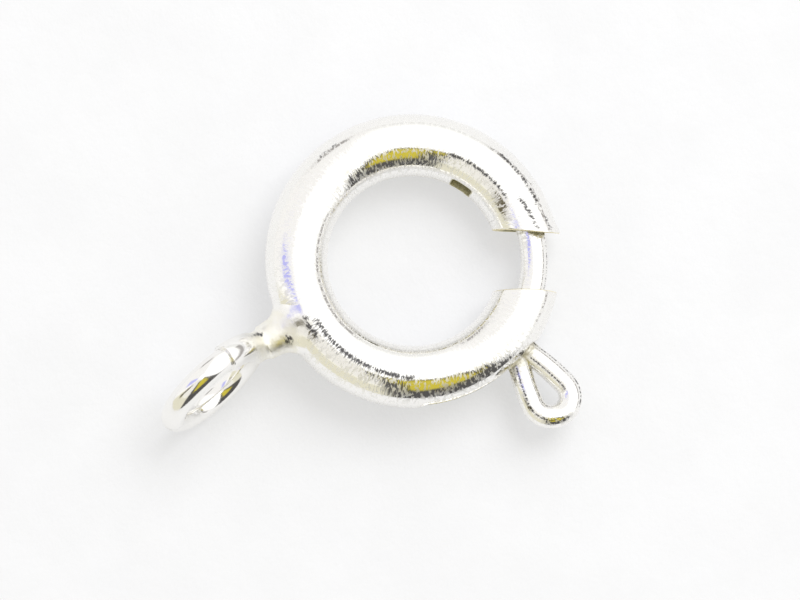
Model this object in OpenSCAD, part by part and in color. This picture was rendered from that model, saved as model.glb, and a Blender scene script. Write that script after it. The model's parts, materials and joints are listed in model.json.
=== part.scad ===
// Spring ring clasp, lying on a flat surface.
// A hollow ring with a sawn opening holds a sprung latch, and an upright eye is soldered to it.
// Each piece is drawn about the ring's centre with the ring flat, and at_rest() then lays it down.

/* [Ring] */
// Outer diameter of the ring
ring_d = 6; // [5.9:0.05:6.4]
// Outer diameter of the rolled tube
tube_d = 1.26; // [1.24:0.01:1.3]
// Thickness of the tube's wall
wall_t = 0.2; // [0.18:0.01:0.2]
// Width of the sawn opening
gap_w = 1.17; // [1.05:0.01:1.2]
// Direction of the opening, counted from the side opposite the eye
gap_dir = -29.6; // [-32:0.1:-28]
// Width of the tube's seam, which runs round the inside of the ring
seam_w = 0.03; // [0.02:0.01:0.05]
// Depth of the tube's seam
seam_depth = 0.02; // [0.01:0.01:0.05]

/* [Stop] */
// Direction of the window in the inner wall
window_dir = 27.5; // [24:0.5:32]
// Length of the window along the wall
window_len = 0.5; // [0.36:0.01:0.52]
// Height of the window
window_h = 0.36; // [0.3:0.02:0.5]
// Thickness of the stop that is bent in beside the window
stop_t = 0.2; // [0.15:0.01:0.25]
// Height of the stop
stop_h = 0.5; // [0.4:0.02:0.54]
// How far the stop reaches past the tube's centreline
stop_reach = 0.08; // [0:0.01:0.12]

/* [Eye] */
// Outer diameter of the eye
eye_d = 2.56; // [2.4:0.02:2.7]
// Diameter of the eye's wire
eye_wire_d = 0.49; // [0.46:0.01:0.5]
// Diameter of the neck, and of the end that it turns up along the eye
neck_d = 0.6; // [0.56:0.01:0.64]
// Length of the neck from the tube to the eye's wire
neck_len = 0.78; // [0.7:0.01:0.9]
// Direction of the neck
neck_dir = 181; // [179:0.5:183]
// Turn of the eye away from the neck's direction
eye_turn = 12; // [6:1:14]
// Lean of the eye away from the vertical
eye_lean = 10; // [6:1:12]
// Stretch of the eye that the turned-up neck end covers
root_span = 66; // [56:1:72]
// Diameter of the solder ball where the neck meets the eye
ball_d = 0.65; // [0.62:0.01:0.66]
// Diameter of the solder's flare where it meets the tube
flare_d = 1.2; // [1.1:0.02:1.22]
// Length of the solder's flare along the neck
flare_len = 0.95; // [0.8:0.05:1]
// How far inside the tube's outer side the flare starts
flare_sink = 0.55; // [0.54:0.01:0.6]

/* [Latch] */
// Diameter of the rod that closes the opening
rod_d = 0.55; // [0.5:0.01:0.56]
// How far the rod runs outside the tube's centreline
rod_shift = 0.1; // [0.06:0.01:0.1]
// How far the rod reaches into the tube beyond the opening, as an angle
rod_bite = 4; // [3:0.5:6]
// Length of the tail from the trigger to the spring, as an angle
tail_span = 61; // [55:1:65]
// Diameter of the trigger's wire
trigger_wire_d = 0.48; // [0.44:0.01:0.5]
// Direction of the trigger's foot
trigger_dir = -69.7; // [-72:0.1:-68]
// How far the foot stands out of the tube before the wire turns
foot_stand = 0.04; // [0.02:0.01:0.06]
// Turn of the trigger away from the foot's direction
trigger_turn = -15; // [-18:1:-10]
// Distance from the foot to the middle of the trigger's round end
trigger_len = 0.91; // [0.85:0.01:1]
// Radius of the wire's centreline round the trigger's end
trigger_r = 0.4; // [0.36:0.01:0.44]
// Distance between the wires at the trigger's foot
foot_w = 0.33; // [0.28:0.01:0.34]
// Half angle of the trigger's round end
trigger_wrap = 100; // [95:1:104]
// How much thinner the pinched foot is than the trigger's wire
foot_pinch = 0.02; // [0.01:0.01:0.04]
// Angle that the latch turns through as it opens
travel = 38; // [34:1:39]
// Play between the trigger and the ends of its slot
slot_play = 0.03; // [0.03:0.01:0.05]
// Height of the slot
slot_h = 0.62; // [0.6:0.01:0.64]

/* [Spring] */
// Diameter of the spring's wire
spring_wire_d = 0.14; // [0.12:0.01:0.15]
// Outer diameter of the spring
spring_d = 0.8; // [0.78:0.01:0.8]
// Number of turns
spring_turns = 22; // [18:1:24]
// Gap left at each end of the spring
spring_play = 0.02; // [0.01:0.01:0.04]

/* [Hidden] */
$fn = 96;
silver = [0.86, 0.86, 0.84];
spring_steel = [0.62, 0.63, 0.65];

// Radii of the ring, its tube and its bore
tube_r = tube_d / 2;
bore_r = tube_r - wall_t;
ring_r = ring_d / 2 - tube_r;
inner_r = ring_r - tube_r;
outer_r = ring_r + tube_r;
full_turn = 360;
// How far a cutter runs past what it cuts
past = 0.3;

// The opening's half angle at the tube's centreline
gap_half = asin(gap_w / 2 / ring_r);

// The window and the stop beside it
window_depth = wall_t + past;
window_half = asin(window_len / 2 / inner_r);
stop_dir = window_dir + window_half;
stop_foot = inner_r + wall_t / 2;
stop_end_dir = stop_dir + asin(stop_t / ring_r);

// The eye's centre, reached along the neck and then along the eye's own direction
eye_r = (eye_d - eye_wire_d) / 2;
root_out = outer_r + neck_len;
eye_dir = neck_dir + eye_turn;
eye_x = root_out * cos(neck_dir) + eye_r * cos(eye_dir);
eye_y = root_out * sin(neck_dir) + eye_r * sin(eye_dir);
// The turned-up neck end stands this far outside the eye's wire
root_step = (neck_d - eye_wire_d) / 2;
flare_start = outer_r - flare_sink;

// The rod's arc, from its tip inside the tube to the end of its tail
rod_r = ring_r + rod_shift;
tip_dir = gap_dir + gap_half + rod_bite;
tail_dir = trigger_dir - tail_span;

foot_out = outer_r + foot_stand;
half_foot = foot_w / 2;
// Each leg is one arc from the foot, tangent to the round end
wrap_x = cos(trigger_wrap);
wrap_y = sin(trigger_wrap);
leg_shift = (trigger_len ^ 2 + half_foot ^ 2 - trigger_r ^ 2)
    / (2 * (trigger_r + trigger_len * wrap_x - half_foot * wrap_y));
leg_r = trigger_r + leg_shift;
leg_end = atan2(half_foot + leg_shift * wrap_y, leg_shift * wrap_x - trigger_len);
// A wire that runs into the next one is a little thinner, and starts this far inside it
lap = 0.02;
lap_step = 0.005;
lap_angle = lap / leg_r * 180 / PI;
leg_wire_r = trigger_wire_d / 2 - lap_step;
foot_wire_r = (trigger_wire_d - foot_pinch) / 2;
foot_lap = 0.05;

// The slot lets the foot pass, and leaves play at both ends of its travel
foot_half_angle = asin((half_foot + trigger_wire_d / 2 + slot_play) / (ring_r + bore_r));
slot_from = trigger_dir - travel - foot_half_angle;
slot_to = trigger_dir + foot_half_angle;

// The spring fills the bore from the stop round to the latch's tail
spring_from = stop_end_dir + spring_play / ring_r * 180 / PI;
spring_to = full_turn + tail_dir - spring_play / ring_r * 180 / PI;
spring_coil_r = (spring_d - spring_wire_d) / 2;
spring_steps = 10;
spring_sides = 5;
spring_rings = spring_turns * spring_steps;

// At rest the ring's far side and the eye both touch the surface
rest_pitch = asin((eye_r * cos(eye_lean) + eye_wire_d / 2 - tube_r) / (ring_r - eye_x));
rest_height = ring_r * sin(rest_pitch) + tube_r;
// The origin lies under the middle of the clasp's outline
eye_tip_x = eye_x + eye_d / 2 * cos(eye_dir);
trigger_axis = trigger_dir + trigger_turn;
trigger_tip_y = foot_out * sin(trigger_dir) + trigger_len * sin(trigger_axis)
    - trigger_r - trigger_wire_d / 2;
rest_x = -(eye_tip_x + outer_r) / 2;
rest_y = -(trigger_tip_y + outer_r) / 2;

// Lays the clasp on the surface
module at_rest() {
    translate([rest_x, rest_y, rest_height]) rotate([0, rest_pitch, 0]) children();
}

// A stretch of round wire bent to a radius about the Z axis
module arc(bend_r, wire_r, from, to) {
    rotate([0, 0, from]) rotate_extrude(angle = to - from) translate([bend_r, 0]) circle(wire_r);
}

// A whole round hoop about the Z axis
module hoop(bend_r, wire_r) {
    rotate_extrude() translate([bend_r, 0]) circle(wire_r);
}

// A round bar along X
module bar(from, to, from_r, to_r) {
    translate([from, 0, 0]) rotate([0, 90, 0]) cylinder(h = to - from, r1 = from_r, r2 = to_r);
}

// The neck, the solder round its foot, and the upright eye
module eye() {
    rotate([0, 0, neck_dir]) {
        bar(ring_r, root_out, neck_d / 2, neck_d / 2);
        bar(flare_start, flare_start + flare_len, flare_d / 2, neck_d / 2);
    }
    translate([eye_x, eye_y, 0]) rotate([0, 0, eye_dir]) rotate([90 + eye_lean, 0, 0]) {
        hoop(eye_r, eye_wire_d / 2);
        arc(eye_r + root_step / 2, neck_d / 2, 180 - root_span, 180);
        translate([-eye_r - root_step / 2, 0, 0]) sphere(ball_d / 2);
    }
}

// The opening is sawn straight through the tube, so its two faces are parallel
module gap_cut() {
    rotate([0, 0, gap_dir]) translate([0, -gap_w / 2, -tube_d]) cube([ring_d, gap_w, 2 * tube_d]);
}

// The slot in the outer wall that the trigger's foot slides along
module slot_cut() {
    rotate([0, 0, slot_from]) rotate_extrude(angle = slot_to - slot_from)
        translate([ring_r, -slot_h / 2]) square([tube_r + past, slot_h]);
}

// The seam where the rolled strip's edges meet
module seam_cut() {
    rotate_extrude() translate([inner_r - past, -seam_w / 2]) square([past + seam_depth, seam_w]);
}

// The window in the inner wall
module window_cut() {
    rotate([0, 0, window_dir]) translate([inner_r - past, -window_len / 2, -window_h / 2])
        cube([past + window_depth, window_len, window_h]);
}

// The tab of wall that is bent in beside the window and stops the spring
module stop() {
    rotate([0, 0, stop_dir]) translate([stop_foot, 0, -stop_h / 2])
        cube([ring_r + stop_reach - stop_foot, stop_t, stop_h]);
}

module ring_body() {
    color(silver) at_rest() union() {
        difference() {
            union() {
                hoop(ring_r, tube_r);
                eye();
            }
            hoop(ring_r, bore_r);
            gap_cut();
            slot_cut();
            seam_cut();
            window_cut();
        }
        stop();
    }
}

// The rod runs inside the tube and closes the opening, and its tip is domed
module rod() {
    arc(rod_r, rod_d / 2, tail_dir, tip_dir);
    rotate([0, 0, tip_dir]) translate([rod_r, 0, 0]) sphere(rod_d / 2 - lap_step);
}

// One side of the trigger: the straight foot through the slot, and the bowed leg
module trigger_side(side) {
    foot_x = foot_out - side * half_foot * sin(trigger_turn);
    foot_y = side * half_foot * cos(trigger_turn);
    translate([0, foot_y, 0]) bar(rod_r, foot_x + foot_lap, foot_wire_r, foot_wire_r);
    translate([foot_out, 0, 0]) rotate([0, 0, trigger_turn]) mirror([0, side < 0 ? 1 : 0, 0])
        translate([trigger_len - leg_shift * wrap_x, -leg_shift * wrap_y, 0])
            arc(leg_r, leg_wire_r, trigger_wrap - lap_angle, leg_end);
}

// The trigger is a teardrop of the same wire, pinched together at its foot
module trigger() {
    rotate([0, 0, trigger_dir]) {
        trigger_side(1);
        trigger_side(-1);
        translate([foot_out, 0, 0]) rotate([0, 0, trigger_turn]) translate([trigger_len, 0, 0])
            arc(trigger_r, trigger_wire_d / 2, -trigger_wrap, trigger_wrap);
    }
}

module latch() {
    color(silver) at_rest() union() {
        rod();
        trigger();
    }
}

// A corner of the spring's wire: which step along the coil, and which side of the wire
function spring_corner(step, side) =
    let (
        along = spring_from + (spring_to - spring_from) * step / spring_rings,
        coil = full_turn * step / spring_steps,
        around = full_turn * side / spring_sides,
        coil_out = spring_coil_r + spring_wire_d / 2 * cos(around),
        out = ring_r + coil_out * cos(coil),
        shift = spring_wire_d / 2 * sin(around)
    )
    [
        out * cos(along) - shift * sin(along),
        out * sin(along) + shift * cos(along),
        coil_out * sin(coil)
    ];

// The index of a corner in the list of corners
function corner_index(step, side) = step * spring_sides + side % spring_sides;

module coil_spring() {
    corners = [
        for (step = [0 : spring_rings]) for (side = [0 : spring_sides - 1]) spring_corner(step, side)
    ];
    walls = [
        for (step = [0 : spring_rings - 1]) for (side = [0 : spring_sides - 1])
            for (half = [0, 1])
                half == 0
                    ? [corner_index(step, side), corner_index(step + 1, side), corner_index(step, side + 1)]
                    : [corner_index(step + 1, side), corner_index(step + 1, side + 1), corner_index(step, side + 1)]
    ];
    first_end = [for (side = [0 : spring_sides - 1]) corner_index(0, side)];
    last_end = [for (side = [spring_sides - 1 : -1 : 0]) corner_index(spring_rings, side)];
    color(spring_steel) at_rest() polyhedron(points = corners, faces = concat(walls, [first_end, last_end]));
}

ring_body();
latch();
coil_spring();
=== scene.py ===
import json
import math
from types import SimpleNamespace

import bpy
import numpy as np
from mathutils import Matrix, Vector


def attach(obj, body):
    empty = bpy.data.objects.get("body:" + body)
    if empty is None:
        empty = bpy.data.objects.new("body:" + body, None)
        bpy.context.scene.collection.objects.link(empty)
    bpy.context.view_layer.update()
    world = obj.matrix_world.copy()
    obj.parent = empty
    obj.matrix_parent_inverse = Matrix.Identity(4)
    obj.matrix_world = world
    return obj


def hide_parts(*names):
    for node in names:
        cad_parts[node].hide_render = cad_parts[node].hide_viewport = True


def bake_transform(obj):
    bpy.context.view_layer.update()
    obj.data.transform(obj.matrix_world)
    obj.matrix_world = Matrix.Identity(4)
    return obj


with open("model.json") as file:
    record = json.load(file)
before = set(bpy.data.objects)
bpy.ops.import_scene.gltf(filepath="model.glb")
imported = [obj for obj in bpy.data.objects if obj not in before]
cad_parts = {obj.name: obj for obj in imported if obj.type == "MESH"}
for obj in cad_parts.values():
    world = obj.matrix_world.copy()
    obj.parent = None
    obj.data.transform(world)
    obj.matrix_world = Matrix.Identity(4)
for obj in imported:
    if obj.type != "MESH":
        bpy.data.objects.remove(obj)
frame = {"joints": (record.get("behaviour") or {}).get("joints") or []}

bl_info = {
    "name": "Spring Ring Clasp",
    "version": (1, 0, 0),
    "blender": (4, 5, 0),
    "location": "View3D > Sidebar > Clasp",
    "description": "A silver spring ring clasp with a sprung latch and a soldered eye",
    "category": "Add Mesh",
}

# The joint of the latch stands at the ring's centre, along the ring's axis.
LATCH_JOINT = frame["joints"][0]
RING_CENTRE = np.array(LATCH_JOINT["pos_m"], float)
RING_UP = -np.array(LATCH_JOINT["axis"], float)
RING_UP /= np.linalg.norm(RING_UP)
RING_SIDE = np.array([0.0, 1.0, 0.0])
RING_FORWARD = np.cross(RING_SIDE, RING_UP)
RING_AXES = np.stack([RING_FORWARD, RING_SIDE, RING_UP])

FULL_TURN = 2 * math.pi


def length(name, description, default):
    """A size in metres."""
    return bpy.props.FloatProperty(
        name=name, description=description, default=default, unit="LENGTH", precision=6
    )


def angle(name, description, degrees):
    """An angle, given in degrees and held in radians."""
    return bpy.props.FloatProperty(
        name=name, description=description, default=math.radians(degrees), subtype="ANGLE"
    )


def share(name, description, default):
    """A plain number with no unit."""
    return bpy.props.FloatProperty(name=name, description=description, default=default)


def colour(name, description, default):
    """A colour without alpha."""
    return bpy.props.FloatVectorProperty(
        name=name, description=description, default=default, subtype="COLOR", size=3
    )


class RingSizes(bpy.types.PropertyGroup):
    """Sizes of the hollow ring."""

    ring_d: length("Ring diameter", "Outer diameter of the ring", 0.006)
    tube_d: length("Tube diameter", "Outer diameter of the rolled tube", 0.00126)
    wall_t: length("Wall", "Thickness of the tube's wall", 0.0002)
    gap_w: length("Opening", "Width of the sawn opening", 0.00117)
    gap_dir: angle("Opening direction", "Direction of the opening", -29.6)
    slot_from: angle("Slot start", "Direction of the slot's far end", -116.64)
    slot_to: angle("Slot end", "Direction of the slot's near end", -60.76)
    slot_h: length("Slot height", "Height of the slot in the outer wall", 0.00058)
    window_dir: angle("Window direction", "Direction of the window in the inner wall", 28.5)
    window_len: length("Window length", "Length of the window", 0.00044)
    window_h: length("Window height", "Height of the window", 0.00033)
    window_up: length("Window rise", "How far the window sits above the tube's middle", 0.00013)
    edge_r: length("Edge radius", "Rounding of the cut edges", 0.000022)
    seam_depth: length("Seam depth", "Depth of the seam round the inner wall", 0.00002)
    end_flare: length("Flare", "How far the sawn end by the window stands out", 0.00005)
    end_lean: angle("End lean", "Lean of the sawn end by the window", 7)
    end_skew: angle("End skew", "How far that end is sawn out of square", 4)
    stop_t: length("Stop thickness", "Thickness of the tab that holds the spring", 0.0002)
    stop_h: length("Stop height", "Height of the tab", 0.0005)
    stop_reach: length("Stop reach", "How far the tab passes the tube's centreline", 0.00008)


class EyeSizes(bpy.types.PropertyGroup):
    """Sizes of the eye, its neck and the solder."""

    eye_d: length("Eye diameter", "Outer diameter of the eye", 0.00256)
    wire_d: length("Eye wire", "Diameter of the eye's wire", 0.00049)
    neck_d: length("Neck diameter", "Diameter of the neck", 0.0006)
    neck_len: length("Neck length", "Length of the neck from the tube to the eye", 0.00078)
    neck_dir: angle("Neck direction", "Direction of the neck", 181)
    eye_turn: angle("Eye turn", "Turn of the eye away from the neck", 12)
    eye_lean: angle("Eye lean", "Lean of the eye away from the vertical", 10)
    root_span: angle("Root span", "Stretch of the eye that the neck's end covers", 66)
    flare_d: length("Solder diameter", "Diameter of the solder at the tube", 0.00092)
    flare_len: length("Solder length", "Length of the solder along the neck", 0.00095)
    flare_sink: length("Solder sink", "How deep in the tube the solder starts", 0.00055)
    cell: length("Mesh cell", "Size of the cells that the eye's skin is made from", 0.000024)


class LatchSizes(bpy.types.PropertyGroup):
    """Sizes of the latch."""

    rod_d: length("Rod diameter", "Diameter of the rod that closes the opening", 0.00055)
    rod_shift: length("Rod shift", "How far the rod runs outside the tube's centreline", 0.0001)
    rod_bite: angle("Rod bite", "How far the rod reaches past the opening", 4)
    tail_span: angle("Tail span", "Angle from the trigger to the tail's end", 61)
    wire_d: length("Trigger wire", "Diameter of the trigger's wire", 0.00048)
    foot_d: length("Foot wire", "Diameter of the wire at the pinched foot", 0.00046)
    trigger_dir: angle("Trigger direction", "Direction of the trigger's foot", -69.7)
    trigger_turn: angle("Trigger turn", "Turn of the trigger away from the foot", -15)
    foot_stand: length("Foot stand", "How far the foot stands out of the tube", 0.00004)
    foot_w: length("Foot width", "Distance between the wires at the foot", 0.00033)
    trigger_len: length("Trigger length", "From the foot to the middle of the round end", 0.00091)
    trigger_r: length("Trigger radius", "Radius of the wire round the end", 0.0004)
    trigger_wrap: angle("Trigger wrap", "Half angle of the round end", 100)


class SpringSizes(bpy.types.PropertyGroup):
    """Sizes of the coil spring."""

    wire_d: length("Spring wire", "Diameter of the spring's wire", 0.00014)
    coil_d: length("Coil diameter", "Outer diameter of the spring", 0.0008)
    turns: bpy.props.IntProperty(name="Turns", description="Number of turns", default=22, min=1)
    play: length("Play", "Gap left at each end of the spring", 0.00002)


class FinishColours(bpy.types.PropertyGroup):
    """Colours of the metals and of the sheet."""

    silver: colour("Silver", "Polished silver plate", (0.93, 0.92, 0.895))
    tarnish: colour("Tarnish", "Dull film in the sheltered places", (0.46, 0.42, 0.26))
    bore: colour("Bore", "Darker film in the bore and the window", (0.6, 0.57, 0.38))
    solder: colour("Solder", "Frosted skin of the solder", (0.95, 0.93, 0.85))
    # Painted reflection: the dark colour of the ragged marks stands in for dark things in the room
    # mirrored in the polish.
    rub: colour("Rub", "Dark ragged marks left by rubbing", (0.11, 0.107, 0.11))
    brass: colour("Brass", "Metal that shows where the plate is cut", (0.93, 0.87, 0.66))
    steel: colour("Steel", "Drawn spring wire", (0.5, 0.5, 0.51))
    sheet: colour("Sheet", "Pale surface under the clasp", (0.305, 0.307, 0.316))


class StageSettings(bpy.types.PropertyGroup):
    """The light and the camera."""

    dome: share("Dome", "Brightness of the light all round", 1.0)
    lamp: share("Lamp", "Power of the soft lamp in watts", 0.19)
    azimuth: angle("Azimuth", "Camera's direction round the clasp", -28.5)
    elevation: angle("Elevation", "Camera's height over the surface", 85.3)
    distance: length("Distance", "From the ring's centre to the camera", 0.11)
    lens: share("Lens", "Focal length in millimetres", 244.3)
    glow: share("Glow", "Light that the sheet gives off itself, as a lit table does", 0.496)
    sheet_w: length("Sheet width", "Width of the pale sheet", 0.5)


def turn_down(vectors):
    """Takes directions from the flat ring's own axes to the surface's."""
    return np.asarray(vectors, float) @ RING_AXES


def lay_down(points):
    """Takes points from the flat ring's own axes to where the clasp lies on the surface."""
    return turn_down(points) + RING_CENTRE


def polar_point(radius, direction, height=0.0):
    """A point in the flat ring's axes."""
    radius, direction, height = np.broadcast_arrays(radius, direction, height)
    return np.stack([radius * np.cos(direction), radius * np.sin(direction), height], -1)


def smoothstep(x):
    """Rises smoothly from 0 to 1."""
    x = np.clip(x, 0, 1)
    return x * x * (3 - 2 * x)


def smooth_union(a, b, blend):
    """Joins two distances with a fillet."""
    mix = np.clip(0.5 + 0.5 * (b - a) / blend, 0, 1)
    return b * (1 - mix) + a * mix - blend * mix * (1 - mix)


def smooth_cut(a, b, blend):
    """Keeps what is inside both distances, with a rounded edge."""
    return -smooth_union(-a, -b, blend)


def add_object(name, data):
    """Puts a new object in the scene."""
    made = bpy.data.objects.new(name, data)
    bpy.context.scene.collection.objects.link(made)
    return made


def store(mesh, name, kind, field, blocks):
    """Keeps a value at each point of the mesh."""
    values = np.concatenate(blocks).astype(np.float32).ravel()
    mesh.attributes.new(name, kind, "POINT").data.foreach_set(field, values)


class Skin:
    """Points and faces of one piece, with the lay of the metal and the marks at each point."""

    def __init__(self):
        self.points, self.lays, self.faces, self.inner = [], [], [], []
        self.marks = {"shelter": [], "sawn": [], "knocked": [], "rubbed": []}
        self.count = 0

    def add_points(self, points, lay, **marks):
        """Adds points of any grid shape and returns their numbers in the same shape. A mark that
        isn't given is nought."""
        shape = points.shape[:-1]
        self.points.append(points.reshape(-1, 3))
        self.lays.append(np.broadcast_to(lay, points.shape).reshape(-1, 3))
        for mark, blocks in self.marks.items():
            blocks.append(np.broadcast_to(marks.get(mark, 0.0), shape).reshape(-1))
        numbers = np.arange(self.count, self.count + len(self.points[-1]))
        self.count += len(numbers)
        return numbers.reshape(shape)

    def add_faces(self, faces, inner=False):
        """Adds faces as rows of point numbers. Inner faces take the second material."""
        self.faces.append(faces)
        self.inner.append(np.full(len(faces), inner))

    def add_strip(self, numbers, closed=False, inner=False):
        """Joins the rows of a grid of point numbers with four-sided faces."""
        here, there = numbers, np.roll(numbers, -1, 1)
        if not closed:
            here, there = here[:, :-1], there[:, :-1]
        faces = np.stack([here[:-1], here[1:], there[1:], there[:-1]], -1)
        self.add_faces(faces.reshape(-1, 4), inner)

    def make(self, name, materials, normals=None):
        """Makes the mesh object, laid down on the surface, with the materials of these names."""
        mesh = bpy.data.meshes.new(name)
        faces = [row for block in self.faces for row in block.tolist()]
        mesh.from_pydata(lay_down(np.concatenate(self.points)).tolist(), [], faces)
        mesh.validate()
        store(mesh, "lay", "FLOAT_VECTOR", "vector", self.lays)
        for mark, blocks in self.marks.items():
            store(mesh, mark, "FLOAT", "value", blocks)
        for material in materials:
            mesh.materials.append(bpy.data.materials[material])
        if len(materials) > 1:
            inner = np.concatenate(self.inner).astype(np.int32)
            mesh.polygons.foreach_set("material_index", inner)
        mesh.polygons.foreach_set("use_smooth", np.ones(len(mesh.polygons), bool))
        if normals is not None:
            mesh.normals_split_custom_set_from_vertices(turn_down(normals).tolist())
        return add_object(name, mesh)


# How far large faces outweigh small ones. 50 treats them all alike.
NORMAL_WEIGHT = 60


def weigh_normals(piece):
    """Keeps broad faces flat beside their narrow rounded edges."""
    weigh = piece.modifiers.new("Weighted normals", "WEIGHTED_NORMAL")
    weigh.mode = "FACE_AREA"
    weigh.weight = NORMAL_WEIGHT


# The ring


def ring_measures(ring):
    """Radii and directions that follow from the ring's sizes."""
    tube_r = ring.tube_d / 2
    ring_r = ring.ring_d / 2 - tube_r
    return SimpleNamespace(
        tube_r=tube_r,
        bore_r=tube_r - ring.wall_t,
        ring_r=ring_r,
        inner_r=ring_r - tube_r,
        outer_r=ring_r + tube_r,
        gap_half=math.asin(ring.gap_w / 2 / ring_r),
        window_half=math.asin(ring.window_len / 2 / (ring_r - tube_r)),
        slot_mid=FULL_TURN + (ring.slot_from + ring.slot_to) / 2,
        slot_half=(ring.slot_to - ring.slot_from) / 2,
    )


# Heights over the seam of the rows that form its groove, and half the groove's width
SEAM_HEIGHTS = np.array([3e-6, 1e-5, 1.7e-5, 2.6e-5, 4e-5])
SEAM_HALF = 2e-5
# How many rows run along the slot, on each side of it, and from the window to the seam
SLOT_ROWS, SIDE_ROWS, SEAM_ROWS = 15, 32, 8
# The mesh leaves this much room round the slot and the window for their rounded corners.
HOLE_MARGIN = 1e-5


def tube_rows(ring):
    """Angles round the tube, outside and in the bore, with rows along the slot and the window."""
    measures = ring_measures(ring)
    slot_z = ring.slot_h / 2 + ring.edge_r + HOLE_MARGIN
    window_room = ring.window_h / 2 + ring.edge_r + HOLE_MARGIN
    low, high = window_room - ring.window_up, window_room + ring.window_up
    sides = []
    for radius in (measures.tube_r, measures.bore_r):
        seam = np.arcsin(SEAM_HEIGHTS / radius)
        slot = np.arcsin(np.linspace(-slot_z, slot_z, SLOT_ROWS) / radius)
        below = np.linspace(math.asin(low / radius) - math.pi, slot[0], SIDE_ROWS, endpoint=False)
        above = np.linspace(slot[-1], math.pi - math.asin(high / radius), SIDE_ROWS + 1)[1:]
        heights = np.linspace(high, SEAM_HEIGHTS[-1], SEAM_ROWS)[1:-1]
        across = math.pi - np.arcsin(heights / radius)
        sides.append(np.concatenate(
            [seam - math.pi, below, slot, above, across, math.pi - seam[::-1]]
        ))
    seam_count = len(SEAM_HEIGHTS)
    slot_start = seam_count + SIDE_ROWS
    slot_stop = slot_start + SLOT_ROWS - 1
    edges = SimpleNamespace(
        slot=(slot_start, slot_stop), window=(slot_stop + SIDE_ROWS, seam_count)
    )
    dips = np.zeros(len(sides[0]))
    groove = np.clip((SEAM_HALF - SEAM_HEIGHTS) / (SEAM_HALF - SEAM_HEIGHTS[0]), 0, 1)
    dips[:seam_count] = groove
    dips[-seam_count:] = groove[::-1]
    return sides[0], sides[1], dips * ring.seam_depth, edges


# Distances of the last stations from a sawn end, the zone in which they turn to follow the cut,
# and how near the end they follow it wholly
END_STEPS = np.array([0, 2e-5, 4.5e-5, 8e-5, 1.25e-4, 1.8e-4, 2.5e-4, 3.4e-4, 4.3e-4])
END_ZONE = 0.00055
END_SQUARE = 1e-4
# How far along the tube the flared end's flare runs
FLARE_LEN = 0.00035
COLUMN_STEP = math.radians(1.0)


def tube_columns(ring):
    """Stations along the tube, from the sawn end by the window round to the other: their
    directions, their distances to the sawn end, which end that is, and where the holes lie."""
    measures = ring_measures(ring)
    ends = END_STEPS + ring.edge_r
    near = np.arcsin((ring.gap_w / 2 + ends) / measures.ring_r)
    zone = math.asin((ring.gap_w / 2 + END_ZONE) / measures.ring_r)
    margin = ring.edge_r + HOLE_MARGIN
    window_half = measures.window_half + margin / measures.inner_r
    slot_margin = margin / measures.outer_r
    stops = [
        ring.gap_dir + zone,
        ring.window_dir - window_half,
        ring.window_dir + window_half,
        FULL_TURN + ring.slot_from - slot_margin,
        FULL_TURN + ring.slot_to + slot_margin,
        FULL_TURN + ring.gap_dir - zone,
    ]
    directions = [ring.gap_dir + near]
    marks = []
    for start, stop in zip(stops, stops[1:]):
        marks.append(sum(map(len, directions)))
        steps = max(2, round((stop - start) / COLUMN_STEP))
        directions.append(np.linspace(start, stop, steps, endpoint=False))
    directions.append(np.array([stops[-1]]))
    directions.append((FULL_TURN + ring.gap_dir - near)[::-1])
    directions = np.concatenate(directions)
    side = np.zeros(len(directions))
    away = np.zeros(len(directions))
    side[: len(near)], side[-len(near):] = 1, -1
    away[: len(near)], away[-len(near):] = ends, ends[::-1]
    columns = SimpleNamespace(window=(marks[1], marks[2]), slot=(marks[3], marks[4]))
    return directions, away, side, columns


def on_tube(ring, direction, away, side, radius, around):
    """Points on a tube whose ends are sawn parallel. Near an end the stations follow the cut."""
    measures = ring_measures(ring)
    out = measures.ring_r + radius * np.cos(around)
    half = ring.gap_w / 2 + away
    cut = np.arcsin(half / out) - np.arcsin(half / measures.ring_r)
    hold = 1 - smoothstep((away - END_SQUARE) / (END_ZONE - END_SQUARE))
    flare = ring.end_flare * (1 - smoothstep(away / FLARE_LEN)) * (side > 0)
    flare = flare * smoothstep(np.cos(around))
    height = radius * np.sin(around)
    lean = (measures.tube_r - height) * math.tan(ring.end_lean) / measures.ring_r * (side > 0)
    skew = (out - measures.ring_r) * math.tan(ring.end_skew) / measures.ring_r * (side > 0)
    return polar_point(out + flare, direction + hold * (side * cut + lean - skew), height)


EDGE_TURNS = np.radians([0, 30, 60, 90])


def edge_levels(ring):
    """(inset, depth) across a wall with rounded edges, from outside to the bore."""
    inset = ring.edge_r * (1 - np.sin(EDGE_TURNS))
    depth = ring.edge_r * (1 - np.cos(EDGE_TURNS))
    inset = np.concatenate([inset, [0], inset[::-1]])
    depth = np.concatenate([depth, [ring.wall_t / 2], ring.wall_t - depth[::-1]])
    return inset, depth


WINDOW_CORNER = 5e-5
# Keeps a short straight piece in the middle of the slot's round ends
SLOT_FLAT = 1e-6


def list_holes(ring, columns, rows):
    """The slot in the outer wall and the window in the inner wall. Their rise is over the tube's
    middle, and their length is measured at the radius called reach."""
    measures = ring_measures(ring)
    slot = SimpleNamespace(
        columns=columns.slot, rows=rows.slot, middle=measures.slot_mid, rise=0,
        reach=measures.outer_r, half_len=measures.slot_half * measures.outer_r,
        half_high=ring.slot_h / 2, corner=ring.slot_h / 2 - SLOT_FLAT, wall=1,
    )
    window = SimpleNamespace(
        columns=columns.window, rows=rows.window, middle=ring.window_dir, rise=ring.window_up,
        reach=measures.inner_r, half_len=ring.window_len / 2,
        half_high=ring.window_h / 2, corner=WINDOW_CORNER, wall=-1,
    )
    return slot, window


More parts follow.
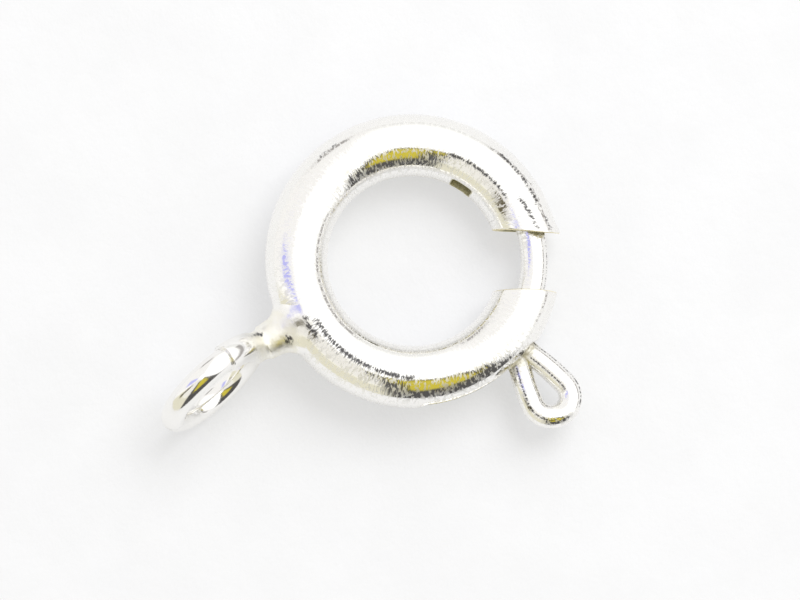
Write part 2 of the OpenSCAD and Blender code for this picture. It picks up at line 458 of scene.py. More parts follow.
def hole_border(hole, row_count):
    """The places (column, row) in the mesh round a hole, in order."""
    first, last = hole.columns
    low, high = hole.rows
    span = (high - low) % row_count
    border = [(c, low) for c in range(first, last)]
    border += [(last, (low + r) % row_count) for r in range(span)]
    border += [(c, high) for c in range(last, first, -1)]
    border += [(first, (low + r) % row_count) for r in range(span, 0, -1)]
    return np.array(border)


def hole_edge(hole, along, up, outset):
    """The nearest places on a hole's rounded outline, grown by outset."""
    core_along = np.clip(along, hole.corner - hole.half_len, hole.half_len - hole.corner)
    core_up = np.clip(up, hole.corner - hole.half_high, hole.half_high - hole.corner)
    ahead, over = along - core_along, up - core_up
    size = (hole.corner + outset) / np.hypot(ahead, over)
    return core_along + ahead * size, core_up + over * size


# Film in the bore, in the seam, beside the slot and on the holes' walls
BORE_FILM, SEAM_FILM, SLOT_FILM, WALL_FILM = 0.9, 0.45, 0.1, 0.5
SLOT_FILM_REACH = 4e-5
FAR_AWAY = 1.0
# The window's wall has its full film from the wall's thickness over this number.
WINDOW_FILM_RISE = 8
# How strongly cut metal shows at the rim of a sawn end and on the holes' walls, and how far it
# reaches from the sawn end
SAWN_RIM, SAWN_WALL, SAWN_REACH = 0.5, 0.05, 1.2e-5
# The knocked patch: its direction, its angle round the tube and its reach
KNOCK_DIR, KNOCK_AROUND, KNOCK_REACH = math.radians(4), math.radians(42), math.radians(15)


def slot_film(ring, directions, around):
    """Film near the slot."""
    measures = ring_measures(ring)
    along = np.maximum(np.abs(directions - measures.slot_mid) - measures.slot_half, 0)
    across = np.maximum(np.abs(measures.tube_r * np.sin(around)) - ring.slot_h / 2, 0)
    across = np.where(np.cos(around) > 0, across, FAR_AWAY)
    return np.exp(-np.hypot(along * measures.outer_r, across) / SLOT_FILM_REACH) * SLOT_FILM


# Each painted reflection on the ring is a dark mark that stands in for a dark thing in the room
# mirrored in the polish. It has its first and last direction, its angle round the tube at its first
# direction, how far it drifts from that, its half width and its strength. Angles are in degrees.
RING_PAINTED_REFLECTIONS = [
    (181, 244, 89, -7, 7.5, 0.84),
    (177, 194, 72, 0, 8, 0.84),
    (177, 218, 80, 2, 11, 0.5),
    (-8, 25, 55, -2, 8, 0.68),
    (-16, -4, 42, 12, 7, 0.66),
    (-16, 5, 72, 15, 7, 0.8),
    (92, 108, 47, 0, 6, 0.6),
    (2, 46, 104, 0, 6, 0.8),
]
# Degrees over which a painted reflection fades at its two ends
PAINTED_REFLECTION_FADE = 4


def painted_reflections_at(direction, around):
    """How far each point of the ring lies within a painted reflection, a dark mark standing in for a
    dark thing mirrored in the polish.
    """
    most = 0.0
    direction, around = np.degrees(direction), np.degrees(around)
    for first, last, middle, drift, half, strength in RING_PAINTED_REFLECTIONS:
        along = smoothstep((direction - first) / PAINTED_REFLECTION_FADE)
        along = along * smoothstep((last - direction) / PAINTED_REFLECTION_FADE)
        centre = middle + drift * (direction - first) / (last - first)
        across = np.exp(-((around - centre) / half) ** 2)
        most = np.maximum(most, along * across * strength)
    return most


def build_ring_skin(ring):
    """The hollow tube: outside, bore, sawn ends, slot, window and seam."""
    measures = ring_measures(ring)
    rows, bore_rows, dips, row_edges = tube_rows(ring)
    directions, away, side, column_edges = tube_columns(ring)
    inset, depth = edge_levels(ring)
    row_count, column_count = len(rows), len(directions)

    # The stations run along the outside, over a sawn end, back in the bore and over the other.
    end_away, end_depth = inset[1:-1], depth[1:-1]
    end_count = len(end_away)
    end_angle = np.arcsin((ring.gap_w / 2 + end_away) / measures.ring_r)
    last_end = FULL_TURN + ring.gap_dir - end_angle
    first_end = (ring.gap_dir + end_angle)[::-1]
    direction = np.concatenate([directions, last_end, directions[::-1], first_end])[:, None]
    distance = np.concatenate([away, end_away, away[::-1], end_away[::-1]])[:, None]
    which = np.concatenate([side, -np.ones(end_count), side[::-1], np.ones(end_count)])[:, None]
    deep = np.concatenate([
        np.zeros(column_count), end_depth, np.full(column_count, ring.wall_t), end_depth[::-1]
    ])[:, None]
    part = deep / ring.wall_t
    outside = part == 0
    around = rows * (1 - part) + bore_rows * part
    radius = measures.tube_r - deep - dips * outside
    points = on_tube(ring, direction, distance, which, radius, around)
    lay = np.stack(np.broadcast_arrays(
        direction * measures.ring_r, radius * np.cos(around), radius * np.sin(around)
    ), -1)
    shelter = np.where(outside, slot_film(ring, direction, around), part * BORE_FILM)
    shelter = np.maximum(shelter, np.where(dips > 0, SEAM_FILM, 0) * outside)
    rim = np.exp(-distance / SAWN_REACH) * (which != 0) * outside * SAWN_RIM
    from_knock = np.hypot(
        (direction - KNOCK_DIR) / KNOCK_REACH, (around - KNOCK_AROUND) / KNOCK_REACH
    )
    skin = Skin()
    # The marks include painted reflections: dark marks that stand in for dark things in the room
    # mirrored in the polish.
    numbers = skin.add_points(
        points, lay, shelter=shelter, sawn=np.where((part > 0) & (part < 1), 1.0, rim),
        knocked=np.exp(-from_knock ** 2) * outside, rubbed=painted_reflections_at(direction, around) * outside,
    )

    holes = list_holes(ring, column_edges, row_edges)
    bore_last = 2 * column_count + end_count - 1
    keep = np.ones(numbers.shape, bool)
    for hole in holes:
        span = (hole.rows[1] - hole.rows[0]) % row_count
        gone = (hole.rows[0] + np.arange(span)) % row_count
        for column in range(*hole.columns):
            keep[column, gone] = False
            keep[bore_last - column - 1, gone] = False
    following = np.roll(numbers, -1, 0)
    faces = np.stack([numbers, following, np.roll(following, -1, 1), np.roll(numbers, -1, 1)], -1)
    bore = np.zeros((len(numbers), 1), bool)
    bore[column_count + end_count - 1: -1] = True
    skin.add_faces(faces[keep & ~bore])
    skin.add_faces(faces[keep & bore], inner=True)
    for hole in holes:
        add_hole_wall(skin, ring, hole, numbers, directions, rows, bore_last)
    add_stop(skin, ring)
    return skin


def add_hole_wall(skin, ring, hole, numbers, directions, rows, bore_last):
    """The wall of a hole, from the tube's outside to its bore."""
    measures = ring_measures(ring)
    column, row = hole_border(hole, len(rows)).T
    along = (directions[column] - hole.middle) * hole.reach
    up = measures.tube_r * np.sin(rows[row]) - hole.rise
    levels = [numbers[column, row]]
    for inset, depth in zip(*edge_levels(ring)):
        at, height = hole_edge(hole, along, up, inset)
        at, height = hole.middle + at / hole.reach, height + hole.rise
        out = hole.wall * np.sqrt((measures.tube_r - depth) ** 2 - height ** 2)
        part = depth / ring.wall_t
        film = WALL_FILM * part
        if hole.wall < 0:
            film = WALL_FILM + WALL_FILM * min(1, part * WINDOW_FILM_RISE)
        levels.append(skin.add_points(
            polar_point(measures.ring_r + out, at, height),
            np.stack([at * measures.ring_r, out, height], -1), shelter=film, sawn=SAWN_WALL,
        ))
    levels.append(numbers[bore_last - column, row])
    grid = np.stack(levels, 1)
    skin.add_strip(np.concatenate([grid, grid[:1]]), inner=hole.wall < 0)


STOP_SIDES = 28
# Shape of the stop's section: 1 is an ellipse and 0 a rectangle.
STOP_ROUND = 0.28
# How many sections its shaft has, and how far under the top the shaft ends
STOP_RINGS, STOP_SHOULDER = 5, 4e-5
# How far each section of its rounded top lies under the top, and its share of the full size
STOP_TOP = np.array([(2.4e-5, 0.98), (1e-5, 0.93), (2e-6, 0.85), (0, 0.3)])
# The marks on the stop are drawn out to twice their size.
STOP_LAY = 0.5
STOP_FILM, STOP_SAWN = 0.8, 0.2


def add_stop(skin, ring):
    """The tab of wall, bent in beside the window, that the spring pushes on."""
    measures = ring_measures(ring)
    turn = np.linspace(0, FULL_TURN, STOP_SIDES, endpoint=False) + FULL_TURN / (2 * STOP_SIDES)
    cos, sin = np.cos(turn), np.sin(turn)
    across = np.sign(cos) * np.abs(cos) ** STOP_ROUND * ring.stop_t / 2
    up = np.sign(sin) * np.abs(sin) ** STOP_ROUND * ring.stop_h / 2
    top = measures.ring_r + ring.stop_reach
    shaft = np.linspace(measures.inner_r + ring.wall_t / 2, top - STOP_SHOULDER, STOP_RINGS)
    heights = np.concatenate([shaft, top - STOP_TOP[:, 0]])[:, None, None]
    scales = np.concatenate([np.ones(STOP_RINGS), STOP_TOP[:, 1]])[:, None, None]
    start = ring.window_dir + measures.window_half
    outward = np.array([math.cos(start), math.sin(start), 0])
    sideways = np.array([-math.sin(start), math.cos(start), 0])
    upward = np.array([0, 0, 1.0])
    points = (
        heights * outward
        + (ring.stop_t / 2 + across[None, :, None] * scales) * sideways
        + up[None, :, None] * scales * upward
    )
    numbers = skin.add_points(points, points * STOP_LAY, shelter=STOP_FILM, sawn=STOP_SAWN)
    skin.add_strip(numbers[::-1], closed=True, inner=True)
    skin.add_faces(numbers[:1, ::-1], inner=True)
    skin.add_faces(numbers[-1:], inner=True)


# The eye and its solder


def grid_values(distance, low, cell, counts):
    """The distance at every corner of a grid, worked out slab by slab."""
    axes = [low[k] + cell * np.arange(counts[k]) for k in range(3)]
    y, z = np.meshgrid(axes[1], axes[2], indexing="ij")
    return np.stack([distance(np.stack([np.full_like(y, x), y, z], -1)) for x in axes[0]])


def edge_ends(counts, axis):
    """Slices of a grid that hold the first and the second ends of its edges along an axis."""
    here = tuple(slice(0, n - (k == axis)) for k, n in enumerate(counts))
    there = tuple(slice(int(k == axis), n) for k, n in enumerate(counts))
    return here, there


def net_over(distance, low, high, cell):
    """Points and four-sided faces of the surface where the distance is nought."""
    counts = tuple(np.ceil((high - low) / cell).astype(int) + 1)
    values = grid_values(distance, low, cell, counts)
    inside = values < 0
    shape = tuple(n - 1 for n in counts)
    total, crossings = np.zeros(shape + (3,)), np.zeros(shape)
    crossed_edges = []
    for axis in range(3):
        here, there = edge_ends(counts, axis)
        crossed = inside[here] != inside[there]
        crossed_edges.append(crossed)
        gap = np.where(crossed, values[here] - values[there], 1)
        part = np.where(crossed, values[here] / gap, 0)
        for beside in ((0, 0), (0, 1), (1, 0), (1, 1)):
            offset = np.insert(beside, axis, 0)
            cut = tuple(slice(o, o + n) for o, n in zip(offset, shape))
            crossings += crossed[cut]
            for k in range(3):
                total[..., k] += np.where(crossed[cut], part[cut] if k == axis else offset[k], 0)
    active = crossings > 0
    index = np.full(shape, -1)
    index[active] = np.arange(active.sum())
    points = low + cell * (np.argwhere(active) + total[active] / crossings[active][:, None])
    faces = []
    for axis, crossed in enumerate(crossed_edges):
        first, second = (axis + 1) % 3, (axis + 2) % 3
        spots = np.argwhere(crossed)
        within = (spots[:, first] > 0) & (spots[:, second] > 0)
        within &= (spots[:, first] < shape[first]) & (spots[:, second] < shape[second])
        spots = spots[within]
        corners = []
        for back in ((1, 1), (0, 1), (0, 0), (1, 0)):
            corner = spots.copy()
            corner[:, [first, second]] -= back
            corners.append(index[tuple(corner.T)])
        quads = np.stack(corners, 1)
        turned = ~inside[tuple(spots.T)]
        quads[turned] = quads[turned][:, ::-1]
        faces.append(quads)
    return points, np.concatenate(faces)


def slope(distance, points, step):
    """The direction in which the distance grows."""
    shifts = np.eye(3) * step
    grown = [distance(points + shift) - distance(points - shift) for shift in shifts]
    return np.stack(grown, -1) / (2 * step)


# The step over which a slope is taken, and how often and how far a point is moved each time
SETTLE_STEP, SETTLE_ROUNDS, SETTLE_SHARE = 2e-6, 4, 0.9
# Keep a division from running away where the slope is all but flat
LEAST_SLOPE, LEAST_LENGTH = 1e-6, 1e-9


def settle(distance, points):
    """Moves points onto the surface and returns them with its normals."""
    for _ in range(SETTLE_ROUNDS):
        grown = slope(distance, points, SETTLE_STEP)
        size = np.maximum((grown ** 2).sum(-1), LEAST_SLOPE)
        points = points - grown * (distance(points) / size)[:, None] * SETTLE_SHARE
    grown = slope(distance, points, SETTLE_STEP)
    return points, grown / np.maximum(np.linalg.norm(grown, axis=-1), LEAST_LENGTH)[:, None]


def eye_measures(eye, ring):
    """The eye's centre and directions in the flat ring's axes."""
    measures = ring_measures(ring)
    eye_r = (eye.eye_d - eye.wire_d) / 2
    root_out = measures.outer_r + eye.neck_len
    neck = polar_point(1.0, eye.neck_dir)
    away = polar_point(1.0, eye.neck_dir + eye.eye_turn)
    side = np.array([-away[1], away[0], 0])
    up = np.array([0, 0, math.cos(eye.eye_lean)]) - math.sin(eye.eye_lean) * side
    return SimpleNamespace(
        eye_r=eye_r,
        root_out=root_out,
        neck=neck,
        centre=neck * root_out + away * eye_r,
        away=away,
        up=up,
        face=np.cross(away, up),
    )


# How softly the solder meets the tube, its cone meets the neck, the neck meets the eye, and the
# neck's root meets the eye's wire
SOLDER_FILLET, CONE_FILLET, NECK_FILLET, ROOT_FILLET = 0.00026, 2.4e-4, 1.1e-4, 1.2e-5
# The root's sharp edge with its wobble, and how it fades out below
ROOT_EDGE, ROOT_WOBBLE, ROOT_WAVES, ROOT_PHASE = 2e-5, 8e-6, 14000, 1.0
ROOT_DROP, ROOT_FADE = 0.00006, 1.5e-4
# Unevenness of the solder, up and across: its share of the radius, and its waves in radians a metre
LUMP_UP, LUMP_UP_WAVES, LUMP_PHASE = 0.05, 5200, 0.6
LUMP_ACROSS, LUMP_ACROSS_WAVES = 0.04, 6100
# Evens out the distance beside the cone's slanted side
CONE_SLANT = 0.95
# Where the solder thins out, its skin dips this far under the tube's own.
SKIN_UNDER = 4e-6
# Each painted reflection on the solder is a dark spot that stands in for a dark thing mirrored in
# it, and has its two places in the ring's plane, its radius and its strength.
SOLDER_PAINTED_REFLECTIONS = [
    (-0.00303, -0.00024, 0.00013, 0.85),
    (-0.00368, 0.00013, 0.00005, 0.6),
    (-0.00360, 0.00014, 0.00006, 0.8),
    (-0.00352, 0.00014, 0.00007, 0.95),
    (-0.00346, 0.00009, 0.00006, 0.9),
]


def eye_distances(eye, ring):
    """Distances to the fitting with its solder, and to the fitting without the ring."""
    measures = ring_measures(ring)
    place = eye_measures(eye, ring)
    root_step = (eye.neck_d - eye.wire_d) / 2
    root_turn = math.pi - eye.root_span
    start = measures.outer_r - eye.flare_sink

    def fitting(points):
        local = points - place.centre
        x, y, z = local @ place.away, local @ place.up, local @ place.face
        out = np.hypot(x, y)
        hoop = np.hypot(out - place.eye_r, z) - eye.wire_d / 2
        root = np.hypot(out - place.eye_r - root_step / 2, z) - eye.neck_d / 2
        butt = x * math.sin(root_turn) - y * math.cos(root_turn)
        wobble = ROOT_WOBBLE * np.sin(z * ROOT_WAVES + ROOT_PHASE)
        root = smooth_cut(root, butt + wobble, ROOT_EDGE)
        root = smooth_cut(root, -y - ROOT_DROP, ROOT_FADE)
        loop = smooth_union(hoop, root, ROOT_FILLET)
        along = points @ place.neck
        off = np.linalg.norm(points - along[..., None] * place.neck, axis=-1)
        neck = np.maximum(off - eye.neck_d / 2, along - place.root_out)
        neck = np.maximum(neck, measures.ring_r - along)
        joined = smooth_union(loop, neck, NECK_FILLET)
        run = (along - start) / eye.flare_len
        skirt = eye.flare_d / 2 + (eye.neck_d - eye.flare_d) / 2 * np.clip(run, 0, 1)
        lump = 1.0 + LUMP_UP * np.sin(points[..., 2] * LUMP_UP_WAVES + LUMP_PHASE)
        lump = lump + LUMP_ACROSS * np.sin(points[..., 1] * LUMP_ACROSS_WAVES)
        cone = np.maximum((off - skirt * lump) * CONE_SLANT, (run - 1) * eye.flare_len)
        cone = np.maximum(cone, start - along)
        return smooth_union(joined, cone, CONE_FILLET)

    def whole(points):
        out = np.hypot(points[..., 0], points[..., 1]) - measures.ring_r
        tube = np.hypot(out, points[..., 2]) - (measures.tube_r - SKIN_UNDER)
        return smooth_union(fitting(points), tube, SOLDER_FILLET)

    return whole, fitting


# Room left round the eye, and beyond the tube's centreline
EYE_ROOM, TUBE_ROOM = 6e-5, 1e-4
# The stretch over which the lay turns from the eye's to the neck's
LAY_BLEND = 0.0003
# Film in the crotch of the eye, and how far it spreads
CROTCH_FILM, CROTCH_REACH = 0.3, 3.2e-4
# The solder's finish: how high over the tube it is full, how far past the root it ends, over what
# stretch it fades, its film and its dents
SOLDER_RISE, SOLDER_PAST, SOLDER_FADE = 6e-5, 0.0002, 0.0004
SOLDER_FILM, SOLDER_KNOCKED = 0.85, 0.5
# The ring's painted reflections run on over the solder to this height, and fade over as much again.
PAINTED_REFLECTION_RISE = 1e-4


def build_eye_skin(eye, ring):
    """The eye, its neck and the solder that creeps up the tube, with their normals."""
    whole, fitting = eye_distances(eye, ring)
    place = eye_measures(eye, ring)
    measures = ring_measures(ring)
    reach = eye.eye_d / 2 + EYE_ROOM
    low, high = place.centre - reach, place.centre + reach
    high[0] = -measures.ring_r - TUBE_ROOM
    points, faces = net_over(whole, low, high, eye.cell)
    points, normals = settle(whole, points)
    # What lies away from the fitting is the tube, which has a skin of its own.
    buried = fitting(points) > SOLDER_FILLET + 2 * eye.cell
    faces = faces[~buried[faces].all(1)]
    used, faces = np.unique(faces, return_inverse=True)
    points, normals, faces = points[used], normals[used], faces.reshape(-1, 4)

    local = points - place.centre
    x, y, z = local @ place.away, local @ place.up, local @ place.face
    out = np.hypot(x, y) - place.eye_r
    lay = np.stack([np.arctan2(y, -x) * place.eye_r, out, z], -1)
    along = points @ place.neck
    on_neck = smoothstep((place.root_out - along) / LAY_BLEND)[:, None]
    lay = lay * (1 - on_neck) + points * on_neck
    from_line = np.hypot(points[:, 0], points[:, 1]) - measures.ring_r
    rise = np.maximum(np.hypot(from_line, points[:, 2]) - measures.tube_r, 0)
    crotch = np.exp(-(np.hypot(along - place.root_out, points[:, 2]) / CROTCH_REACH) ** 2)
    solder_end = place.root_out + SOLDER_PAST
    on_solder = smoothstep(rise / SOLDER_RISE) * smoothstep((solder_end - along) / SOLDER_FADE)
    direction = np.arctan2(points[:, 1], points[:, 0]) % FULL_TURN
    around = np.arctan2(points[:, 2], from_line)
    # Painted reflections: dark marks on the solder that stand in for dark things mirrored in it.
    rubbed = painted_reflections_at(direction, around) * (1 - smoothstep((rise - PAINTED_REFLECTION_RISE) / PAINTED_REFLECTION_RISE))
    for at_x, at_y, size, strength in SOLDER_PAINTED_REFLECTIONS:
        apart = np.hypot(points[:, 0] - at_x, points[:, 1] - at_y) / size
        rubbed = np.maximum(rubbed, np.exp(-apart ** 2) * strength * (points[:, 2] > 0))
    skin = Skin()
    skin.add_points(
        points, lay, shelter=np.maximum(crotch * CROTCH_FILM, on_solder * SOLDER_FILM),
        knocked=on_solder * SOLDER_KNOCKED, rubbed=rubbed,
    )
    skin.add_faces(faces)
    return skin, normals


# Wires


# Half width of a painted reflection on a wire in degrees, and the share of the wire over which its
# ends fade
WIRE_PAINTED_REFLECTION_HALF, WIRE_PAINTED_REFLECTION_FADE = 8, 0.03


def sweep_wire(skin, path, side, up, radius, sides, shelter, painted_reflections=()):
    """A round wire along a path. Each painted reflection, a dark mark that stands in for a dark
    thing mirrored in the wire, has its angle round the wire in degrees, its strength and the share
    of the length where it starts and stops."""
    turn = np.linspace(0, FULL_TURN, sides, endpoint=False)
    ring = np.cos(turn)[None, :, None] * side[:, None] + np.sin(turn)[None, :, None] * up[:, None]
    points = path[:, None] + ring * radius[:, None, None]
    run = run_along(path)
    lay = np.stack(np.broadcast_arrays(
        run[:, None], np.cos(turn) * radius[:, None], np.sin(turn) * radius[:, None]
    ), -1)
    rubbed = np.zeros((len(path), sides))
    part = (run / run[-1])[:, None]
    for middle, strength, first, last in painted_reflections:
        along = smoothstep((part - first) / WIRE_PAINTED_REFLECTION_FADE)
        along = along * smoothstep((last - part) / WIRE_PAINTED_REFLECTION_FADE)
        across = np.exp(-((np.degrees(turn) - middle) / WIRE_PAINTED_REFLECTION_HALF) ** 2)
        rubbed = np.maximum(rubbed, strength * along * across)
    shelter = np.broadcast_to(shelter, run.shape)[:, None]
    numbers = skin.add_points(points, lay, shelter=shelter, rubbed=rubbed)
    skin.add_strip(numbers, closed=True)
    skin.add_faces(numbers[:1])
    skin.add_faces(numbers[-1:, ::-1])


def run_along(path):
    """The distance along a path at each of its points."""
    return np.concatenate([[0], np.cumsum(np.linalg.norm(np.diff(path, axis=0), axis=1))])


def heading(path):
    """The direction ahead at each point of a path."""
    ahead = np.gradient(path, axis=0)
    return ahead / np.linalg.norm(ahead, axis=1)[:, None]


def flat_sides(path):
    """The in-plane and upright directions beside a path that lies in the ring's plane."""
    ahead = heading(path)
    side = np.stack([ahead[:, 1], -ahead[:, 0], np.zeros(len(path))], -1)
    return side, np.broadcast_to([0.0, 0.0, 1.0], path.shape)


def even_path(points, spacing):
    """The same path with its points evenly spaced."""
    run = run_along(points)
    at = np.linspace(0, run[-1], max(3, round(run[-1] / spacing) + 1))
    return np.stack([np.interp(at, run, points[:, k]) for k in range(3)], -1)


def eased(values, passes):
    """Evens out a path's bends while its two ends stay where they are."""
    for _ in range(passes):
        inner = values[1:-1] * 0.5 + (values[:-2] + values[2:]) * 0.25
        values = np.concatenate([values[:1], inner, values[-1:]])
    return values


def spun(points, turn):
    """Points turned about the ring's axis."""
    cos, sin = math.cos(turn), math.sin(turn)
    return points @ np.array([[cos, -sin, 0], [sin, cos, 0], [0, 0, 1.0]]).T


# How many points the trigger's half round end, each leg and each foot are drawn with, how far
# apart the path's points end up, and how often its bends are evened out
HEAD_POINTS, LEG_POINTS, FOOT_POINTS = 60, 90, 24
TRIGGER_STEP, TRIGGER_EASING = 2.4e-5, 14


def trigger_path(latch, ring):
    """The teardrop's centreline, from the rod out, round the end and back to the rod."""
    measures = ring_measures(ring)
    half, wrap, reach = latch.foot_w / 2, latch.trigger_wrap, latch.trigger_len
    # The legs are arcs that carry on from the round end and come down to the foot.
    shift = (reach ** 2 + half ** 2 - latch.trigger_r ** 2) / (
        2 * (latch.trigger_r + reach * math.cos(wrap) - half * math.sin(wrap))
    )
    leg_end = math.atan2(half + shift * math.sin(wrap), shift * math.cos(wrap) - reach)
    head = polar_point(latch.trigger_r, np.linspace(0, wrap, HEAD_POINTS)) + [reach, 0, 0]
    leg = polar_point(latch.trigger_r + shift, np.linspace(wrap, leg_end, LEG_POINTS))
    leg += [reach - shift * math.cos(wrap), -shift * math.sin(wrap), 0]
    upper = np.concatenate([head, leg[1:]])
    foot_out = measures.outer_r + latch.foot_stand
    sides = []
    for mirror in (1, -1):
        run = spun(upper * [1, mirror, 1], latch.trigger_turn) + [foot_out, 0, 0]
        foot = run[-1]
        inward = np.linspace(foot[0], measures.ring_r + latch.rod_shift, FOOT_POINTS)[1:]
        straight = np.stack([inward, np.full_like(inward, foot[1]), np.zeros_like(inward)], -1)
        sides.append(np.concatenate([run, straight]))
    path = np.concatenate([sides[1][::-1], sides[0][1:]])
    path = eased(even_path(path, TRIGGER_STEP / 2), TRIGGER_EASING)
    return spun(even_path(path, TRIGGER_STEP), latch.trigger_dir), foot_out


WIRE_SIDES = 48
ROD_STATIONS = 200
# Turns of the sections that round off the rod's tip. The last one is all but closed.
TIP_TURNS = np.append(np.linspace(0, math.pi / 2, 8)[1:-1], math.radians(87))
# Film on the rod inside the tube, and how far in it starts, in radians round the ring
ROD_FILM, ROD_FILM_START = 0.6, 0.01
# The stretch over which the pinched foot grows to the trigger's wire
FOOT_GROWTH = 0.0006
FOOT_FILM, FOOT_FILM_REACH = 0.8, 1.2e-4
# Painted reflections on the rod and the trigger: dark marks that stand in for dark things mirrored
# in the wire.
ROD_PAINTED_REFLECTIONS = [(27, 0.7, 0.0, 1.0)]
TRIGGER_PAINTED_REFLECTIONS = [
    (66, 0.85, 0.1, 0.47), (138, 0.75, 0.12, 0.42), (114, 0.85, 0.6, 0.88), (34, 0.85, 0.53, 0.93)
]


def build_latch_skin(latch, ring):
    """The bent rod and the trigger."""
    measures = ring_measures(ring)
    skin = Skin()
    rod_r, thick = measures.ring_r + latch.rod_shift, latch.rod_d / 2
    tail = latch.trigger_dir - latch.tail_span
    tip = ring.gap_dir + measures.gap_half + latch.rod_bite
    tip_steps = tip + thick * np.sin(TIP_TURNS) / rod_r
    directions = np.concatenate([np.linspace(tail, tip, ROD_STATIONS), tip_steps])
    radius = np.concatenate([np.full(ROD_STATIONS, thick), thick * np.cos(TIP_TURNS)])
    path = polar_point(rod_r, directions)
    covered = np.abs(directions - ring.gap_dir) > measures.gap_half + ROD_FILM_START
    sweep_wire(skin, path, *flat_sides(path), radius, WIRE_SIDES, covered * ROD_FILM, ROD_PAINTED_REFLECTIONS)

    path, foot_out = trigger_path(latch, ring)
    out = np.linalg.norm(path, axis=1)
    grown = smoothstep((out - foot_out) / FOOT_GROWTH)
    radius = (latch.foot_d + (latch.wire_d - latch.foot_d) * grown) / 2
    shelter = np.exp(-np.maximum(out - measures.outer_r, 0) / FOOT_FILM_REACH) * FOOT_FILM
    sweep_wire(skin, path, *flat_sides(path), radius, WIRE_SIDES, shelter, TRIGGER_PAINTED_REFLECTIONS)
    return skin


# Stations on each turn of the spring, points round its wire, and its film
COIL_STEPS, COIL_SIDES, COIL_FILM = 30, 12, 0.3


def build_spring_skin(spring, latch, ring):
    """The fine coil from the stop to the latch's tail."""
    measures = ring_measures(ring)
    play = spring.play / measures.ring_r
    stop_end = ring.window_dir + measures.window_half + math.asin(ring.stop_t / measures.ring_r)
    tail_end = FULL_TURN + latch.trigger_dir - latch.tail_span
    steps = spring.turns * COIL_STEPS + 1
    coil = np.linspace(0, FULL_TURN * spring.turns, steps)[:, None]
    outward = polar_point(1.0, np.linspace(stop_end + play, tail_end - play, steps))
    hub = outward * np.cos(coil) + np.array([0, 0, 1.0]) * np.sin(coil)
    path = outward * measures.ring_r + hub * ((spring.coil_d - spring.wire_d) / 2)
    ahead = heading(path)
    side = hub - ahead * (hub * ahead).sum(1)[:, None]
    side /= np.linalg.norm(side, axis=1)[:, None]
    skin = Skin()
    radius = np.full(steps, spring.wire_d / 2)
    sweep_wire(skin, path, side, np.cross(side, ahead), radius, COIL_SIDES, COIL_FILM)
    return skin


# Finishes


# Each noise has its scale across the metal's lay as a share of that along it, its scale, its
# detail and its roughness.
NOISES = {
    "ripple": (0.35, 24000, 1.0, 0.5),
    "wave": (0.6, 1500, 1.5, 0.5),
    "grain": (1.0, 36000, 2.0, 0.6),
    "dents": (1.0, 11000, 1.0, 0.5),
    "hairs": (0.4, 21000, 2.0, 0.65),
    "rags": (0.35, 27000, 3.0, 0.7),
    "film": (1.0, 7000, 3.0, 0.6),
    "shine": (0.4, 4200, 2.0, 0.5),
    "mottle": (1.0, 420, 3.0, 0.6),
    "tooth": (1.0, 2600, 3.0, 0.6),
}
# The values of a noise between which a mask rises
HAIR_FADE, RAG_FADE, FILM_FADE, MOTTLE_FADE = (0.48, 0.58), (0.45, 0.85), (0.25, 0.75), (0.35, 0.65)
# How far the rags break up a painted reflection, and how strongly what is left shows
RAG_REACH, PAINTED_REFLECTION_STRENGTH = 2.6, 1.4
DENT_DEPTH = 6.0
# How much the film, a sawn face and the uneven polish each roughen the metal
FILM_ROUGH, SAWN_ROUGH, UNEVEN_ROUGH = 0.38, 0.3, 0.06
# How much paler the sheet's mottle is, and the strength and height of its tooth
MOTTLE_PALER, TOOTH_STRENGTH, TOOTH_HEIGHT = 1.045, 0.5, 0.00003


def new_group(name, amounts, output):
    """A shader node group that takes the lay and some amounts, and puts out one value."""
    group = bpy.data.node_groups.new(name, "ShaderNodeTree")
    group.interface.new_socket("Lay", in_out="INPUT", socket_type="NodeSocketVector")
    for amount in amounts:
        group.interface.new_socket(amount, in_out="INPUT", socket_type="NodeSocketFloat")
    group.interface.new_socket(output, in_out="OUTPUT", socket_type="NodeSocketFloat")
    given, made = group.nodes.new("NodeGroupInput"), group.nodes.new("NodeGroupOutput")
    return group, given.outputs, made.inputs[output]


def wire(tree, source, target):
    """Links two sockets."""
    tree.links.new(source, target)


def feed(tree, value, target):
    """Links a socket to another one, or gives it a number."""
    if isinstance(value, bpy.types.NodeSocket):
        wire(tree, value, target)
    else:
        target.default_value = value


def calculate(tree, operation, first, second=None, clamp=False):
    """A maths node whose inputs are sockets or numbers."""
    node = tree.nodes.new("ShaderNodeMath")
    node.operation = operation
    node.use_clamp = clamp
    feed(tree, first, node.inputs[0])
    if second is not None:
        feed(tree, second, node.inputs[1])
    return node.outputs[0]


def add_up(tree, first, *others):
    """The sum of some sockets."""
    for other in others:
        first = calculate(tree, "ADD", first, other)
    return first


def fade(tree, value, low, high):
    """A mask that rises smoothly from 0 at low to 1 at high."""
    node = tree.nodes.new("ShaderNodeMapRange")
    node.interpolation_type = "SMOOTHSTEP"
    node.inputs["From Min"].default_value = low
    node.inputs["From Max"].default_value = high
    wire(tree, value, node.inputs["Value"])
    return node.outputs["Result"]


def lay_noise(tree, vector, name):
    """Noise that is drawn out along the metal's lay."""
    across, scale, detail, roughness = NOISES[name]
    mapping = tree.nodes.new("ShaderNodeMapping")
    mapping.inputs["Scale"].default_value = (1.0, across, across)
    wire(tree, vector, mapping.inputs["Vector"])
    noise = tree.nodes.new("ShaderNodeTexNoise")
    noise.inputs["Scale"].default_value = scale
    noise.inputs["Detail"].default_value = detail
    noise.inputs["Roughness"].default_value = roughness
    wire(tree, mapping.outputs["Vector"], noise.inputs["Vector"])
    return noise.outputs["Fac"]


